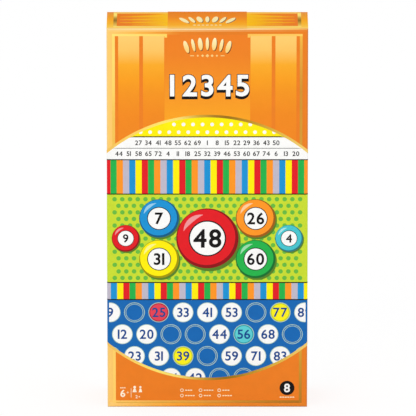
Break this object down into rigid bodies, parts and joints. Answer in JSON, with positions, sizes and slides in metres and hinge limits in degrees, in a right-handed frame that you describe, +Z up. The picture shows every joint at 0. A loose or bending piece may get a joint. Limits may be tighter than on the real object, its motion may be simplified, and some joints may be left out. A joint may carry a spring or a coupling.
{
  "type": "bingo game",
  "caption": "Boxed bingo game: printed lift-off lid over a base tray with a number spinner and its arrow, number cards, coloured chips and folded rules.",
  "frame": {"origin": "under the middle of the box, on the surface that it stands on", "axes": "+Z up along the box's length, +Y from the printed cover to the back, +X to the right seen from the cover"},
  "size_m": [0.135, 0.045, 0.265],
  "materials": {
    "printed_cover": "satin varnish over print",
    "base_board": "uncoated white",
    "formed_plastic": "thin formed sheet",
    "paper": "uncoated",
    "printed_wheel": "satin varnish over print",
    "white_plastic": "moulded",
    "red_plastic": "moulded",
    "printed_card": "satin varnish over print",
    "red_chip": "tinted, see-through",
    "teal_chip": "tinted, see-through",
    "yellow_chip": "tinted, see-through"
  },
  "bodies": {
    "base": {"box_base": "base_board", "insert_tray": "formed_plastic", "rules_leaflet": "paper", "spinner_board": "printed_wheel", "spinner_pivot": "white_plastic", "spinner_washer": "white_plastic", "spinner_cap": "red_plastic", "bingo_card_1": "printed_card", "bingo_card_2": "printed_card", "bingo_card_3": "printed_card", "bingo_card_4": "printed_card", "bingo_card_5": "printed_card", "bingo_card_6": "printed_card", "bingo_card_7": "printed_card", "bingo_card_8": "printed_card", "red_chip_1": "red_chip", "red_chip_2": "red_chip", "red_chip_3": "red_chip", "red_chip_4": "red_chip", "red_chip_5": "red_chip", "red_chip_6": "red_chip", "red_chip_7": "red_chip", "red_chip_8": "red_chip", "red_chip_9": "red_chip", "red_chip_10": "red_chip", "red_chip_11": "red_chip", "red_chip_12": "red_chip", "teal_chip_1": "teal_chip", "teal_chip_2": "teal_chip", "teal_chip_3": "teal_chip", "teal_chip_4": "teal_chip", "teal_chip_5": "teal_chip", "teal_chip_6": "teal_chip", "teal_chip_7": "teal_chip", "teal_chip_8": "teal_chip", "teal_chip_9": "teal_chip", "teal_chip_10": "teal_chip", "teal_chip_11": "teal_chip", "teal_chip_12": "teal_chip", "yellow_chip_1": "yellow_chip", "yellow_chip_2": "yellow_chip", "yellow_chip_3": "yellow_chip", "yellow_chip_4": "yellow_chip", "yellow_chip_5": "yellow_chip", "yellow_chip_6": "yellow_chip", "yellow_chip_7": "yellow_chip", "yellow_chip_8": "yellow_chip", "yellow_chip_9": "yellow_chip", "yellow_chip_10": "yellow_chip", "yellow_chip_11": "yellow_chip", "yellow_chip_12": "yellow_chip"},
    "lid": {"box_lid": "printed_cover"},
    "arrow": {"spinner_arrow": "red_plastic"}
  },
  "joints": [
    {"name": "lid_lift", "type": "slide", "parent": "base", "child": "lid", "axis": [0, -1, 0], "range_m": [0, 0.16]},
    {"name": "arrow_spin", "type": "hinge", "parent": "base", "child": "arrow", "pos_m": [0, -0.0156, 0.1935], "axis": [0, 1, 0], "continuous": true}
  ]
}
